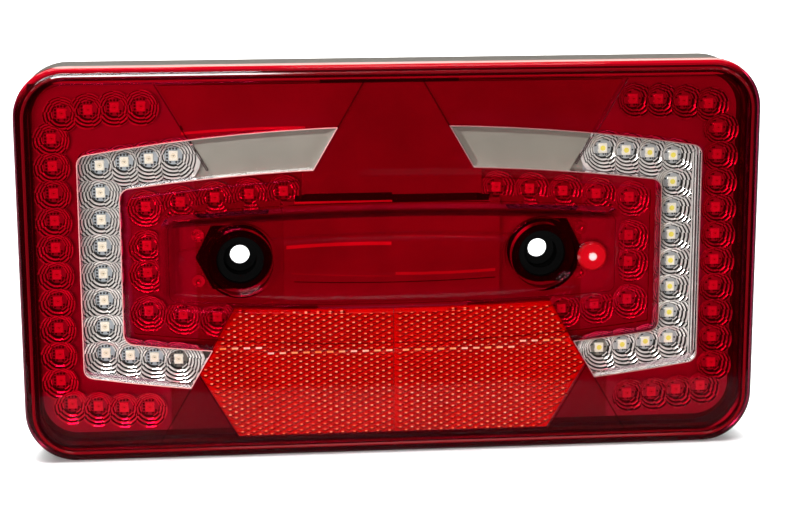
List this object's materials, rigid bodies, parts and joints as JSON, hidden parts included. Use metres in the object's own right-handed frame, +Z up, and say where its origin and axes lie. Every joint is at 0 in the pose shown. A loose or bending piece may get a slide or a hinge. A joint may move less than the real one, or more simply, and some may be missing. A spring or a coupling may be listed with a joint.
{
  "type": "rear combination lamp",
  "caption": "Flat rectangular rear lamp with a tiered red lens, C-shaped clear windows over LED cups, a reflex reflector and two deep screw wells.",
  "frame": {"origin": "midway between the two screw holes, on the rear mounting plane", "axes": "+X to the right as the lens is looked at, +Z up, the lens looks along -Y and the mounting plane is at Y = 0"},
  "size_m": [0.254, 0.024, 0.136],
  "materials": {
    "housing": "fine satin moulding",
    "seal": "matt",
    "red_lens": "polished transparent red",
    "clear_lens": "polished clear",
    "reflex": "prismatic red",
    "white_plastic": "satin",
    "black_plastic": "satin",
    "board_blue": "solder mask",
    "board_white": "solder mask",
    "flex": "satin",
    "steel": "plated",
    "optic": "clear, stepped",
    "led": "moulded",
    "phosphor": "cast",
    "bezel": "satin",
    "chip": "moulded",
    "terminal": "moulded",
    "plug": "polished"
  },
  "bodies": {
    "root": {"rear_housing": "housing", "perimeter_seal": "seal", "front_lens": "red_lens", "clear_window_left": "clear_lens", "clear_window_right": "clear_lens", "reflex_reflector_left": "reflex", "reflex_reflector_right": "reflex", "reflex_backing": "white_plastic", "well_sleeve_left": "black_plastic", "well_sleeve_right": "black_plastic", "well_seal_left": "seal", "well_seal_right": "seal", "circuit_board_left": "board_blue", "circuit_board_right": "board_white", "board_link": "flex", "board_screws": "steel", "tail_optic_left": "optic", "tail_optic_right": "optic", "indicator_optic": "optic", "reverse_optic": "optic", "stop_optic_left": "optic", "stop_optic_right": "optic", "tail_leds_left": "led", "tail_leds_right": "led", "indicator_leds": "led", "reverse_leds": "led", "reverse_phosphors": "phosphor", "stop_leds_left": "led", "stop_leds_right": "led", "upper_bezel": "bezel", "driver_chips": "chip", "resistors": "chip", "wire_terminal": "terminal", "cable_grommet": "seal", "vent_plug": "plug"}
  },
  "joints": []
}
